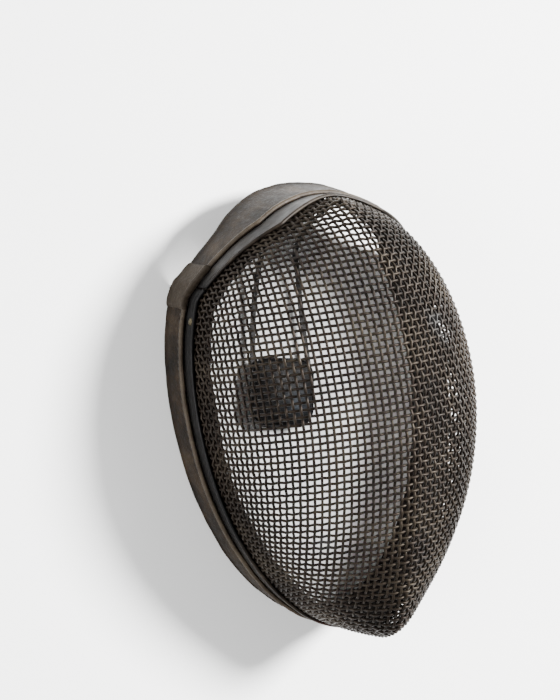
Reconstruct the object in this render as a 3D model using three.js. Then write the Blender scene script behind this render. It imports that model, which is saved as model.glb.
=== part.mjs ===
// A fencing mask that lies face up on its rear rim.
// X points to the wearer's left, Y to the crown and Z from the rear rim to the face.
// The wire face is one domed wall with a blunt fold down its middle. Its edge lies between
// leather bands outside and a leather lining inside. A sprung pad hangs from the crown.

import * as THREE from 'three';
import { mergeVertices } from 'three/addons/utils/BufferGeometryUtils.js';

// Outline of the rim, seen along Z. Stations run up from the chin.
const HALF_WIDTH = 96;
const WIDEST_STATION = 160;
const HEIGHT_ABOVE = 127;
const HEIGHT_BELOW = 162;
const CROWN_POWER = 2.15;
const CHIN_POWER = 2;

// Each millimetre of depth lowers the face by this much, and the chin by more.
const LEAN = 0.14;
const CHIN_LEAN = 0.12;
const CHIN_STATION = 70;

// The side walls run straight back from here, and end at the edge of the wire.
const STRAIGHT_DEPTH = 20;
const SECTION_POWER = 1.35;

// Depth of the middle fold, and how square the section is, at stations up the face.
const FOLD = [
  { station: -3, depth: 62, squareness: 2.4 },
  { station: 7, depth: 85, squareness: 2.5 },
  { station: 20, depth: 96, squareness: 2.6 },
  { station: 50, depth: 113, squareness: 3.1 },
  { station: 95, depth: 128, squareness: 3.6 },
  { station: 150, depth: 138, squareness: 3.7 },
  { station: 205, depth: 135, squareness: 3.5 },
  { station: 245, depth: 124, squareness: 3.4 },
  { station: 270, depth: 110, squareness: 3.2 },
  { station: 288, depth: 90, squareness: 2.8 },
];

// The rear edge lies flat up to the temples, sweeps forward, and dips back at the crown.
const REAR_EDGE = [
  { station: 231, depth: 0 },
  { station: 247, depth: 15 },
  { station: 262, depth: 26 },
  { station: 276, depth: 27 },
  { station: 288, depth: 20 },
];

// The edge of the wire sweeps forward between these stations.
const TEMPLE_STATION = 227;
const CROWN_STATION = 273;
const WIRE_EDGE_AT_SIDES = 36;
const WIRE_EDGE_AT_CROWN = 77;

// Walls and gaps.
const WIRE_WALL = 2;
const GAP = 0.4;
const LEATHER = 3;
const STRIP_WALL = 1.3;
const LINING_WALL = 1.6;
const CORNER_LEATHER = 3.8;
const SEAM = 0.8;
const STRIP_GAP = 1;

// Bands, and the lining's reach beyond the edge of the wire, which grows to the chin.
const SIDE_BAND_WIDTH = 23;
const BAND_FRONT_AT_CROWN = 60;
const HIDDEN_WIRE = 6;
const LINING_START = 5;
const LINING_BEYOND_EDGE = 13;
const LINING_MORE_AT_CHIN = 7;
const CROWN_FLARE = 4;

// Temple corners and their rivets.
const CORNER_LOW = 222;
const CORNER_HIGH = 245;
const RIVET_STATION = 213;
const RIVET_DEPTH = 32;
const RIVET_RADIUS = 2.6;
const RIVET_HEIGHT = 1.5;

// The head spring: two flat strips from under the crown to a padded square.
const SPRING_WIDTH = 4;
const SPRING_THICKNESS = 1.2;
const SPRING_ROUTE = [
  { height: 270.5, depth: 56, right: -13, left: 11 },
  { height: 262, depth: 36, right: -17, left: 8 },
  { height: 246, depth: 16, right: -21, left: 5.5 },
  { height: 226, depth: 8, right: -24.5, left: 9 },
  { height: 203, depth: 5.5, right: -29.5, left: 9.2 },
  { height: 176.5, depth: 5.5, right: -34, left: 8.8 },
];
const PAD_WIDTH = 49;
const PAD_HEIGHT = 46;
const PAD_THICKNESS = 12;
const PAD_EDGE = 3.5;
const PAD_CORNER = 12;
const PAD_CENTRE = { side: -16.5, height: 150.5, depth: 8 };
const PAD_TILT = THREE.MathUtils.degToRad(-10.5);

// Facets.
const STATIONS_HALFWAY = 40;
const WIRE_COLUMNS = 24;
const ANGLE_STEP = Math.PI / STATIONS_HALFWAY;
const NUDGE = 1e-3;
const SECTION_SAMPLES = 160;

// A smooth curve through one column of a table of stations.
function curveThrough(table, column) {
  const rows = table.map((row) => new THREE.Vector2(row.station, row[column]));
  const samples = new THREE.SplineCurve(rows).getPoints(240);
  return (station) => {
    const found = samples.findIndex((point) => point.x >= station);
    const next = found < 0 ? samples.length - 1 : Math.max(found, 1);
    const [low, high] = [samples[next - 1], samples[next]];
    const share = (station - low.x) / (high.x - low.x);
    return THREE.MathUtils.lerp(low.y, high.y, share);
  };
}

const foldDepth = curveThrough(FOLD, 'depth');
const foldSquareness = curveThrough(FOLD, 'squareness');
const sweptRear = curveThrough(REAR_EDGE, 'depth');

function signedPower(value, power) {
  return Math.sign(value) * Math.abs(value) ** power;
}

// Angle 0 is the crown, a quarter turn the wearer's left, half a turn the chin.
function outlineAt(angle) {
  const above = Math.cos(angle) > 0;
  const power = above ? CROWN_POWER : CHIN_POWER;
  const height = above ? HEIGHT_ABOVE : HEIGHT_BELOW;
  return {
    side: HALF_WIDTH * signedPower(Math.sin(angle), 2 / power),
    station: WIDEST_STATION + height * signedPower(Math.cos(angle), 2 / power),
  };
}

// The angle on the wearer's left at which the outline reaches a station.
function angleAt(station) {
  const above = station > WIDEST_STATION;
  const share = (station - WIDEST_STATION) / (above ? HEIGHT_ABOVE : HEIGHT_BELOW);
  return Math.acos(signedPower(share, (above ? CROWN_POWER : CHIN_POWER) / 2));
}

function narrowing(station, depth) {
  const reach = (depth - STRAIGHT_DEPTH) / (foldDepth(station) - STRAIGHT_DEPTH);
  const share = THREE.MathUtils.clamp(reach, 0, 1);
  return (1 - share ** foldSquareness(station)) ** (1 / SECTION_POWER);
}

function sweep(station) {
  const share = (station - TEMPLE_STATION) / (CROWN_STATION - TEMPLE_STATION);
  return THREE.MathUtils.clamp(share, 0, 1);
}

const rearEdge = (station) => (
  station < REAR_EDGE[0].station ? 0 : Math.max(0, sweptRear(station))
);
const wireEdge = (station) => (
  THREE.MathUtils.lerp(WIRE_EDGE_AT_SIDES, WIRE_EDGE_AT_CROWN, sweep(station))
);
const bandFront = (station) => (
  THREE.MathUtils.lerp(SIDE_BAND_WIDTH, BAND_FRONT_AT_CROWN, sweep(station))
);

function lean(station) {
  const share = THREE.MathUtils.clamp(1 - station / CHIN_STATION, 0, 1);
  return LEAN + CHIN_LEAN * share ** 2;
}

// A point of the mask's outer surface at an angle round the rim and a depth.
function surface(angle, depth) {
  const { side, station } = outlineAt(angle);
  const height = station - lean(station) * depth;
  return new THREE.Vector3(side * narrowing(station, depth), height, depth);
}

function outward(angle, depth) {
  const round = surface(angle + NUDGE, depth).sub(surface(angle - NUDGE, depth));
  const forward = surface(angle, depth + NUDGE).sub(surface(angle, depth - NUDGE));
  return forward.cross(round).normalize();
}

// A point lifted off the surface; level keeps it at its depth.
function lifted(angle, depth, lift, level = false) {
  const direction = outward(angle, depth);
  if (level) direction.setZ(0).normalize();
  return surface(angle, depth).addScaledVector(direction, lift);
}

// Moves each vertex of a unit geometry by a function of its place, and joins the seams.
function bend(geometry, place) {
  const plain = new THREE.BufferGeometry();
  plain.setIndex(geometry.index ?? null);
  plain.setAttribute('position', geometry.attributes.position.clone());
  const points = plain.attributes.position;
  const vertex = new THREE.Vector3();
  for (let i = 0; i < points.count; i += 1) {
    vertex.fromBufferAttribute(points, i);
    const moved = place(vertex, i);
    points.setXYZ(i, moved.x, moved.y, moved.z);
  }
  return mergeVertices(plain, 1e-4);
}

function volume(geometry) {
  const { index, attributes } = geometry;
  const corners = [0, 1, 2].map(() => new THREE.Vector3());
  let total = 0;
  for (let i = 0; i < index.count; i += 3) {
    corners.forEach((corner, k) => corner.fromBufferAttribute(attributes.position, index.getX(i + k)));
    total += corners[0].dot(corners[1].cross(corners[2]));
  }
  return total;
}

// Turns a body's faces outwards where its bending has mirrored it.
function facingOut(geometry) {
  if (volume(geometry) < 0) {
    const { index } = geometry;
    for (let i = 0; i < index.count; i += 3) {
      const second = index.getX(i + 1);
      index.setX(i + 1, index.getX(i + 2));
      index.setX(i + 2, second);
    }
  }
  return geometry;
}

// Angles of a band's cross-sections: its two ends, and the shared stations between them.
function anglesBetween(start, end) {
  const angles = [start];
  const first = Math.floor(start / ANGLE_STEP) + 1;
  for (let i = first; i * ANGLE_STEP < end - ANGLE_STEP / 4; i += 1) {
    if (i * ANGLE_STEP > start + ANGLE_STEP / 4) angles.push(i * ANGLE_STEP);
  }
  angles.push(end);
  return angles;
}

// A band along the rim. across(station, v) gives its depth, rise(station, v) an extra lift.
function band({ start, end, low, wall, cuts, across, rise = () => 0, level = false }) {
  const angles = anglesBetween(start, end);
  const steps = angles.length - 1;
  const box = new THREE.BoxGeometry(1, 1, 1, steps, cuts, 1);
  return facingOut(bend(box, (at) => {
    const angle = angles[Math.round((at.x + 0.5) * steps)];
    const { station } = outlineAt(angle);
    const v = at.y + 0.5;
    const lift = low + wall * (at.z + 0.5) + rise(station, v);
    return lifted(angle, across(station, v), lift, level);
  }));
}

// Equal steps along a level section of the wire face, from its edge to the fold.
function sectionDepths(station, edge, steps) {
  const half = outlineAt(angleAt(station)).side;
  const fold = foldDepth(station);
  const points = [];
  for (let i = 0; i <= SECTION_SAMPLES; i += 1) {
    const share = Math.sin((Math.PI / 2) * (i / SECTION_SAMPLES));
    const depth = THREE.MathUtils.lerp(edge, fold, share);
    points.push(new THREE.Vector2(half * narrowing(station, depth), depth));
  }
  const lengths = [0];
  for (let i = 1; i < points.length; i += 1) {
    lengths.push(lengths[i - 1] + points[i].distanceTo(points[i - 1]));
  }
  const depths = [];
  for (let k = 0; k <= steps; k += 1) {
    const wanted = (lengths.at(-1) * k) / steps;
    const next = Math.max(1, lengths.findIndex((length) => length >= wanted - 1e-9));
    const share = (wanted - lengths[next - 1]) / (lengths[next] - lengths[next - 1]);
    depths.push(THREE.MathUtils.lerp(points[next - 1].y, points[next].y, share));
  }
  return depths;
}

// The wire face: one wall, open at the rear, with its ends closed over crown and chin.
function wireFace() {
  const half = WIRE_COLUMNS / 2;
  const rows = [];
  for (let row = 0; row <= STATIONS_HALFWAY; row += 1) {
    const angle = row * ANGLE_STEP;
    const { station } = outlineAt(angle);
    const edge = rearEdge(station) + HIDDEN_WIRE;
    rows.push({ angle, depths: sectionDepths(station, edge, half) });
  }
  const outer = rows.map(({ angle, depths }) => {
    const left = depths.map((depth) => surface(angle, depth));
    const right = left.slice(0, -1).reverse();
    return [...left, ...right.map((point) => new THREE.Vector3(-point.x, point.y, point.z))];
  });
  for (const ends of [outer[0], outer.at(-1)]) {
    for (const point of ends) point.x = 0;
  }
  const inward = (row, column) => {
    const last = WIRE_COLUMNS;
    const above = outer[Math.max(row - 1, 0)];
    const below = outer[Math.min(row + 1, STATIONS_HALFWAY)];
    const atEnd = row === 0 || row === STATIONS_HALFWAY;
    const down = below[column].clone().sub(above[column]);
    const next = outer[row][Math.min(column + 1, last)];
    const across = next.clone().sub(outer[row][Math.max(column - 1, 0)]);
    if (!atEnd) return down.cross(across).normalize();
    const end = column === half ? new THREE.Vector3(0, row ? -1 : 1, 1) : null;
    return (end ?? new THREE.Vector3(0, row ? -1 : 1, LEAN)).normalize().negate();
  };
  return facingOut(bend(openBox(WIRE_COLUMNS, STATIONS_HALFWAY), (at) => {
    const column = Math.round((at.x + 0.5) * WIRE_COLUMNS);
    const row = Math.round((0.5 - at.y) * STATIONS_HALFWAY);
    const point = outer[row][column].clone();
    if (at.z > 0) return point;
    const normal = inward(row, column);
    const centre = new THREE.Vector3(0, WIDEST_STATION, 0);
    if (normal.dot(centre.sub(point)) < 0) normal.negate();
    return point.addScaledVector(normal, WIRE_WALL);
  }));
}

// A unit box without its faces along Y: they would fold flat where the wall closes on itself.
function openBox(columns, rows) {
  const whole = new THREE.BoxGeometry(1, 1, 1, columns, rows, 1);
  const ends = [whole.groups[2], whole.groups[3]];
  const inEnds = (i) => ends.some(({ start, count }) => i >= start && i < start + count);
  whole.setIndex([...whole.index.array].filter((_, i) => !inEnds(i)));
  return whole;
}

// The lining is a closed ring of a four-sided section, inside the wire.
function lining() {
  const stations = 2 * STATIONS_HALFWAY;
  const cuts = 4;
  const corners = [];
  for (let cut = 0; cut <= cuts; cut += 1) corners.push({ v: cut / cuts, inner: 0 });
  for (let cut = cuts; cut >= 0; cut -= 1) corners.push({ v: cut / cuts, inner: 1 });
  const ring = new THREE.TorusGeometry(2, 1, corners.length, stations);
  const uv = ring.attributes.uv;
  return facingOut(bend(ring, (at, i) => {
    const angle = (Math.round(uv.getX(i) * stations) % stations) * ANGLE_STEP;
    const corner = corners[Math.round(uv.getY(i) * corners.length) % corners.length];
    const { station } = outlineAt(angle);
    const start = rearEdge(station) + LINING_START;
    const low = THREE.MathUtils.clamp(1.4 - station / CHIN_STATION, 0, 1);
    const reach = LINING_BEYOND_EDGE * (1 - 0.6 * sweep(station)) + LINING_MORE_AT_CHIN * low;
    const stop = wireEdge(station) + reach;
    const lift = -(WIRE_WALL + GAP + LINING_WALL * corner.inner);
    return lifted(angle, THREE.MathUtils.lerp(start, stop, corner.v), lift);
  }));
}

function springStrip(column) {
  const stops = SPRING_ROUTE.map((row) => new THREE.Vector3(row[column], row.height, row.depth));
  const route = new THREE.CatmullRomCurve3(stops);
  const steps = 24;
  const box = new THREE.BoxGeometry(1, 1, 1, 1, steps, 1);
  return facingOut(bend(box, (at) => {
    const t = at.y + 0.5;
    const along = route.getTangent(t);
    const across = new THREE.Vector3(1, 0, 0).addScaledVector(along, -along.x).normalize();
    const through = across.clone().cross(along);
    return route.getPoint(t)
      .addScaledVector(across, at.x * SPRING_WIDTH)
      .addScaledVector(through, at.z * SPRING_THICKNESS);
  }));
}

function springPad() {
  const x = PAD_WIDTH / 2 - PAD_EDGE;
  const y = PAD_HEIGHT / 2 - PAD_EDGE;
  const outline = new THREE.Shape();
  outline.moveTo(-x + PAD_CORNER, -y);
  outline.lineTo(x - PAD_CORNER, -y);
  outline.absarc(x - PAD_CORNER, -y + PAD_CORNER, PAD_CORNER, -Math.PI / 2, 0);
  outline.absarc(x - PAD_CORNER, y - PAD_CORNER, PAD_CORNER, 0, Math.PI / 2);
  outline.absarc(-x + PAD_CORNER, y - PAD_CORNER, PAD_CORNER, Math.PI / 2, Math.PI);
  outline.absarc(-x + PAD_CORNER, -y + PAD_CORNER, PAD_CORNER, Math.PI, Math.PI * 1.5);
  const pad = new THREE.ExtrudeGeometry(outline, {
    depth: PAD_THICKNESS - 2 * PAD_EDGE,
    bevelThickness: PAD_EDGE,
    bevelSize: PAD_EDGE,
    bevelSegments: 3,
    curveSegments: 5,
  });
  pad.translate(0, 0, PAD_EDGE - PAD_THICKNESS / 2);
  return pad;
}

// A rivet head: a low dome with its flat side on the strip.
function rivetHead() {
  const profile = [new THREE.Vector2(0, 0), new THREE.Vector2(RIVET_RADIUS, 0)];
  for (let i = 1; i <= 3; i += 1) {
    const turn = (Math.PI / 2) * (i / 3);
    profile.push(new THREE.Vector2(RIVET_RADIUS * Math.cos(turn), RIVET_HEIGHT * Math.sin(turn)));
  }
  profile.at(-1).x = 0;
  return new THREE.LatheGeometry(profile, 16);
}

const WIRE = new THREE.MeshStandardMaterial({ color: 0x6a655c, roughness: 0.5, metalness: 0.9 });
const BAND_LEATHER = new THREE.MeshStandardMaterial({ color: 0x5b544b, roughness: 0.75, metalness: 0 });
const CORNER = new THREE.MeshStandardMaterial({ color: 0x6f675d, roughness: 0.8, metalness: 0 });
const STRIP = new THREE.MeshStandardMaterial({ color: 0x4e4d4b, roughness: 0.45, metalness: 0.6 });
const LINING = new THREE.MeshStandardMaterial({ color: 0x5a3423, roughness: 0.85, metalness: 0 });
const SPRING = new THREE.MeshStandardMaterial({ color: 0x3a3a3a, roughness: 0.5, metalness: 0.8 });
const PAD = new THREE.MeshStandardMaterial({ color: 0x2e2f33, roughness: 0.8, metalness: 0 });
const BRASS = new THREE.MeshStandardMaterial({ color: 0x9a8b6a, roughness: 0.4, metalness: 0.9 });

const mask = new THREE.Group();

function add(name, geometry, material) {
  const mesh = new THREE.Mesh(geometry, material);
  mesh.name = name;
  mask.add(mesh);
  return mesh;
}

const TURN = 2 * Math.PI;
const seamAngle = SEAM / HALF_WIDTH;
const cornerTop = angleAt(CORNER_HIGH);
const cornerFoot = angleAt(CORNER_LOW);
const sides = { start: cornerFoot + seamAngle, end: TURN - cornerFoot - seamAngle };
const crown = { start: -cornerTop + seamAngle, end: cornerTop - seamAngle };

add('mesh_face', wireFace(), WIRE);

const flare = (station, v) => CROWN_FLARE * sweep(station) ** 2 * (1 - v) ** 2;
const leatherDepth = (station, v) => (
  THREE.MathUtils.lerp(rearEdge(station), bandFront(station), v)
);
const leather = { low: GAP, wall: LEATHER, across: leatherDepth };
add('side_band', band({ ...sides, ...leather, cuts: 2, level: true }), BAND_LEATHER);
add('crown_band', band({ ...crown, ...leather, cuts: 4, rise: flare }), BAND_LEATHER);

// The strips fill the space between the leather and the wire, and meet under each temple.
const stripDepth = (station, v) => (
  THREE.MathUtils.lerp(bandFront(station) + STRIP_GAP, wireEdge(station), v)
);
const temple = (cornerTop + cornerFoot) / 2;
const sideStrip = { start: temple + seamAngle / 2, end: TURN - temple - seamAngle / 2 };
const crownStrip = { start: -temple + seamAngle / 2, end: temple - seamAngle / 2 };
const strip = { low: GAP, wall: STRIP_WALL, cuts: 2, across: stripDepth };
add('edge_strip_sides', band({ ...sideStrip, ...strip }), STRIP);
add('edge_strip_crown', band({ ...crownStrip, ...strip, cuts: 3 }), STRIP);

for (const [name, start, end] of [
  ['temple_corner_left', cornerTop, cornerFoot],
  ['temple_corner_right', TURN - cornerFoot, TURN - cornerTop],
]) {
  const body = band({
    start, end, low: GAP, wall: CORNER_LEATHER, cuts: 3, across: leatherDepth,
  });
  add(name, body, CORNER);
}

for (const [name, side] of [['rivet_left', 1], ['rivet_right', -1]]) {
  const angle = side * angleAt(RIVET_STATION);
  const normal = outward(angle, RIVET_DEPTH);
  const rivet = add(name, rivetHead(), BRASS);
  rivet.position.copy(lifted(angle, RIVET_DEPTH, 2 * GAP + STRIP_WALL));
  rivet.quaternion.setFromUnitVectors(new THREE.Vector3(0, 1, 0), normal);
}

add('inner_lining', lining(), LINING);
add('spring_strip_left', springStrip('left'), SPRING);
add('spring_strip_right', springStrip('right'), SPRING);

const pad = add('spring_pad', springPad(), PAD);
pad.position.set(PAD_CENTRE.side, PAD_CENTRE.height, PAD_CENTRE.depth);
pad.rotation.z = PAD_TILT;

// The origin is on the surface that the mask rests on, under the middle of its box.
mask.updateMatrixWorld(true);
const box = new THREE.Box3().setFromObject(mask, true);
const middle = box.getCenter(new THREE.Vector3());
mask.position.set(-middle.x, -middle.y, -box.min.z);

export default mask;
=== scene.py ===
import math

import bpy
import numpy as np
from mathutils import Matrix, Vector

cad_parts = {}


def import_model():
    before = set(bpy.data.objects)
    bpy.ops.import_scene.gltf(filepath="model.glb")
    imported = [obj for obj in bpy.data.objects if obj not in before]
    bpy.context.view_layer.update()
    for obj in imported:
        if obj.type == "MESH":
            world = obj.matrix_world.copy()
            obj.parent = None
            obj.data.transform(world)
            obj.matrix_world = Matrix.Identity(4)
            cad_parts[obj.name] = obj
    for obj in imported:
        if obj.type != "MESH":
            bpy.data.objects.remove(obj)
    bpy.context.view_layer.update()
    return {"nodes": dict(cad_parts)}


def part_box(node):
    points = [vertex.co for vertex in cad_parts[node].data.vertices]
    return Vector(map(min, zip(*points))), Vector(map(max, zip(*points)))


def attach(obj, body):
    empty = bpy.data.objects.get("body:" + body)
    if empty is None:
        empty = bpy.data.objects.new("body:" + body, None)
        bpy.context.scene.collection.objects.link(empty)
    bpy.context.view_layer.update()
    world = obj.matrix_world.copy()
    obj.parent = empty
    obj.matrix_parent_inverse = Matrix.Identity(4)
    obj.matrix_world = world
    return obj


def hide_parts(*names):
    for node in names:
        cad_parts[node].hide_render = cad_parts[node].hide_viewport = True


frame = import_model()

# A fencing mask lying face up: woven steel wire, leather bands, a lining and a head spring.
# Lengths are in millimetres here, and every mesh is made in metres.
MM = 0.001

# ---- the mask's form: the same driving sizes as its solids ----
HALF_WIDTH = 96.0
WIDEST_STATION = 160.0
HEIGHT_ABOVE, HEIGHT_BELOW = 127.0, 162.0
CROWN_POWER, CHIN_POWER = 2.15, 2.0
LEAN, CHIN_LEAN, CHIN_STATION = 0.14, 0.12, 70.0
STRAIGHT_DEPTH, SECTION_POWER = 20.0, 1.35
FOLD = {
    "station": [-3, 7, 20, 50, 95, 150, 205, 245, 270, 288],
    "depth": [62, 85, 96, 113, 128, 138, 135, 124, 110, 90],
    "squareness": [2.4, 2.5, 2.6, 3.1, 3.6, 3.7, 3.5, 3.4, 3.2, 2.8],
}
REAR_EDGE = {"station": [231, 247, 262, 276, 288], "depth": [0, 15, 26, 27, 20]}
TEMPLE_STATION, CROWN_STATION = 227.0, 273.0
WIRE_EDGE_AT_SIDES, WIRE_EDGE_AT_CROWN = 36.0, 77.0
SIDE_BAND_WIDTH, BAND_FRONT_AT_CROWN = 23.0, 60.0
GAP, LEATHER, CROWN_FLARE = 0.4, 3.0, 4.0
STRIP_GAP, HIDDEN_WIRE = 1.0, 8.0
PATCH_LAP, PATCH_THICK = 0.022, 4.3
LINING_START, LINING_BEYOND_EDGE, LINING_MORE_AT_CHIN = 5.0, 13.0, 7.0
WIRE_WALL, LINING_WALL = 2.0, 1.6
CORNER_LOW, CORNER_HIGH = 222.0, 245.0
SEAM = 0.8
TURN = 2 * math.pi

# Where the strip is painted paler, as wear and a painted reflection of the floor: fully at the chin,
# fading up the sides, and less at the crown.
CHIN_WEAR_AND_SHEEN_TOP, CHIN_WEAR_AND_SHEEN_SPAN = 70.0, 30.0
CROWN_WEAR_AND_SHEEN_FOOT, CROWN_WEAR_AND_SHEEN_SPAN, CROWN_WEAR_AND_SHEEN = 235.0, 15.0, 0.6
BEAD_WEAR_AND_SHEEN, FLAT_WEAR_AND_SHEEN = 1.6, 0.6

# Stitches: from one to the next, a stitch's length, the thread, and the way behind the band's front.
STITCH_SPACING, STITCH_LENGTH, THREAD_RADIUS, STITCH_BEHIND = 4.4, 3.2, 0.5, 3.9

# The chin's lowest leather against station 0, which gives the frame's shift along Y.
CHIN_LOWEST = WIDEST_STATION - HEIGHT_BELOW - (LEAN + CHIN_LEAN) * SIDE_BAND_WIDTH - GAP - LEATHER
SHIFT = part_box("side_band")[0].y / MM - CHIN_LOWEST

# Woven wire: how far apart its rows and columns are, and how thick a wire is.
ROW_PITCH, COLUMN_PITCH = 4.55, 4.75
WIRE_RADIUS = 0.98
CRIMP_HEIGHT = 0.85
BASE_ROW_HEIGHT = 142.0

# The head spring: each strip's way from the crown to the pad, and the pad that it carries.
SPRING_ROUTE = {
    "height": [276.0, 270.5, 262, 246, 226, 203, 176.5, 164.0],
    "depth": [68.0, 56, 36, 16, 8, 5.5, 5.5, 6.0],
    "right": [-10.5, -13, -17, -21, -24.5, -29.5, -34, -35.5],
    "left": [14.0, 11, 8, 5.5, 9, 9.2, 8.8, 8.6],
}
SPRING_WIDTH, SPRING_THICKNESS = 4.0, 1.2
PAD_SIZE = (49.0, 46.0, 12.0)
PAD_CORNER = 12.0
PAD_CENTRE = (-16.5, 150.5, 8.0)
PAD_TILT = math.radians(-10.5)
PAD_RISE, WELT_RADIUS = 2.2, 0.9
CLOTH_SCALE, CLOTH_FRAMES, CLOTH_PRESSURE = 20.0, 36, 4

CAMERA_DISTANCE, CAMERA_LENS = 1.3, 125.4
CAMERA_SHIFT = (-0.116, 0.096)


def spline_column(table, column):
    """A smooth curve through one column of a table of stations."""
    points = np.column_stack([table["station"], table[column]]).astype(float)
    last = len(points) - 1
    rows = []
    for t in np.linspace(0, last, 241):
        i = min(int(t), last)
        w = t - i
        p0, p1 = points[max(i - 1, 0)], points[i]
        p2, p3 = points[min(i + 1, last)], points[min(i + 2, last)]
        v0, v1 = (p2 - p0) / 2, (p3 - p1) / 2
        cubic = (2 * p1 - 2 * p2 + v0 + v1) * w**3 + (3 * p2 - 3 * p1 - 2 * v0 - v1) * w**2
        rows.append(cubic + v0 * w + p1)
    rows = np.array(rows)
    return lambda station: np.interp(station, rows[:, 0], rows[:, 1])


fold_depth = spline_column(FOLD, "depth")
fold_squareness = spline_column(FOLD, "squareness")
swept_rear = spline_column(REAR_EDGE, "depth")


def signed_power(value, power):
    return np.sign(value) * np.abs(value) ** power


def outline_at(angle):
    """Half width and station of the rim, from the crown at angle 0 to the chin at half a turn."""
    c, s = np.cos(angle), np.sin(angle)
    power = np.where(c > 0, CROWN_POWER, CHIN_POWER)
    height = np.where(c > 0, HEIGHT_ABOVE, HEIGHT_BELOW)
    side = HALF_WIDTH * signed_power(s, 2 / power)
    return side, WIDEST_STATION + height * signed_power(c, 2 / power)


def angle_at(station):
    above = station > WIDEST_STATION
    share = (station - WIDEST_STATION) / (HEIGHT_ABOVE if above else HEIGHT_BELOW)
    return float(np.arccos(signed_power(share, (CROWN_POWER if above else CHIN_POWER) / 2)))


def half_width(station):
    above = station > WIDEST_STATION
    power = np.where(above, CROWN_POWER, CHIN_POWER)
    share = np.abs(station - WIDEST_STATION) / np.where(above, HEIGHT_ABOVE, HEIGHT_BELOW)
    return HALF_WIDTH * np.clip(1 - np.clip(share, 0, 1) ** power, 0, 1) ** (1 / power)


def narrowing(station, depth):
    reach = (depth - STRAIGHT_DEPTH) / (fold_depth(station) - STRAIGHT_DEPTH)
    return (1 - np.clip(reach, 0, 1) ** fold_squareness(station)) ** (1 / SECTION_POWER)


def lean(station):
    share = np.clip(1 - station / CHIN_STATION, 0, 1)
    return LEAN + CHIN_LEAN * share**2


def sweep(station):
    return np.clip((station - TEMPLE_STATION) / (CROWN_STATION - TEMPLE_STATION), 0, 1)


def rear_edge(station):
    return np.where(station < REAR_EDGE["station"][0], 0, np.maximum(0, swept_rear(station)))


def wire_edge(station):
    return WIRE_EDGE_AT_SIDES + (WIRE_EDGE_AT_CROWN - WIRE_EDGE_AT_SIDES) * sweep(station)


def band_front(station):
    return SIDE_BAND_WIDTH + (BAND_FRONT_AT_CROWN - SIDE_BAND_WIDTH) * sweep(station)


def surface(angle, depth):
    side, station = outline_at(angle)
    height = station - lean(station) * depth + SHIFT
    return np.stack([side * narrowing(station, depth), height, depth + 0 * side], -1)


def unit(vectors):
    return vectors / np.maximum(np.linalg.norm(vectors, axis=-1, keepdims=True), 1e-12)


def outward(angle, depth):
    step = 1e-3
    around = surface(angle + step, depth) - surface(angle - step, depth)
    forward = surface(angle, depth + step) - surface(angle, depth - step)
    return unit(np.cross(forward, around))


def lifted(angle, depth, lift, level=False):
    direction = outward(angle, depth)
    if level:
        direction = unit(direction * [1, 1, 0])
    return surface(angle, depth) + direction * np.asarray(lift)[..., None]


def station_of(points):
    """The station on which a point in space lies."""
    height = points[..., 1] - SHIFT
    station = height + LEAN * points[..., 2]
    for _ in range(4):
        station = height + lean(station) * points[..., 2]
    return station


def smooth_noise(u, v, seed, cells):
    """Soft bumps from -1 to 1 over two coordinates, the same each time for one seed."""
    grid = np.random.default_rng(seed).uniform(-1, 1, (64, 64))
    x, y = np.asarray(u) * cells, np.asarray(v) * cells
    x, y = np.broadcast_arrays(x, y)
    i, j = np.floor(x).astype(int), np.floor(y).astype(int)
    a, b = x - i, y - j
    a, b = a * a * (3 - 2 * a), b * b * (3 - 2 * b)
    low = grid[i % 64, j % 64] * (1 - a) + grid[(i + 1) % 64, j % 64] * a
    high = grid[i % 64, (j + 1) % 64] * (1 - a) + grid[(i + 1) % 64, (j + 1) % 64] * a
    return low * (1 - b) + high * b


# ---- colours and nodes ----
def srgb(code):
    """A hex colour in sRGB as linear red, green, blue and alpha."""
    parts = [int(code[i:i + 2], 16) / 255 for i in (1, 3, 5)]
    return [c / 12.92 if c <= 0.04045 else ((c + 0.055) / 1.055) ** 2.4 for c in parts] + [1.0]


def node(tree, kind, values=(), links=(), stops=(), **settings):
    """Adds one node: its properties, input values, (input, socket) links and colour stops."""
    made = tree.nodes.new(kind)
    for key, value in settings.items():
        setattr(made, key, value)
    for key, value in dict(values).items():
        made.inputs[key].default_value = value
    for key, socket in dict(links).items():
        tree.links.new(socket, made.inputs[key])
    for index, (place, code) in enumerate(stops):
        bands = made.color_ramp.elements
        band = bands.new(place) if 0 < index < len(stops) - 1 else bands[-1 if index else 0]
        band.position, band.color = place, srgb(code)
    return made


def new_material(name):
    material = bpy.data.materials.new(name)
    material.use_nodes = True
    tree = material.node_tree
    tree.nodes.clear()
    shader = node(tree, "ShaderNodeBsdfPrincipled")
    node(tree, "ShaderNodeOutputMaterial", links={"Surface": shader.outputs[0]})
    return material, tree, shader


def joined(tree, shader, **sockets):
    """Links the given sockets to the shader's inputs; _ stands for a space in a name."""
    for name, socket in sockets.items():
        tree.links.new(socket, shader.inputs[name.replace("_", " ")])


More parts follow.
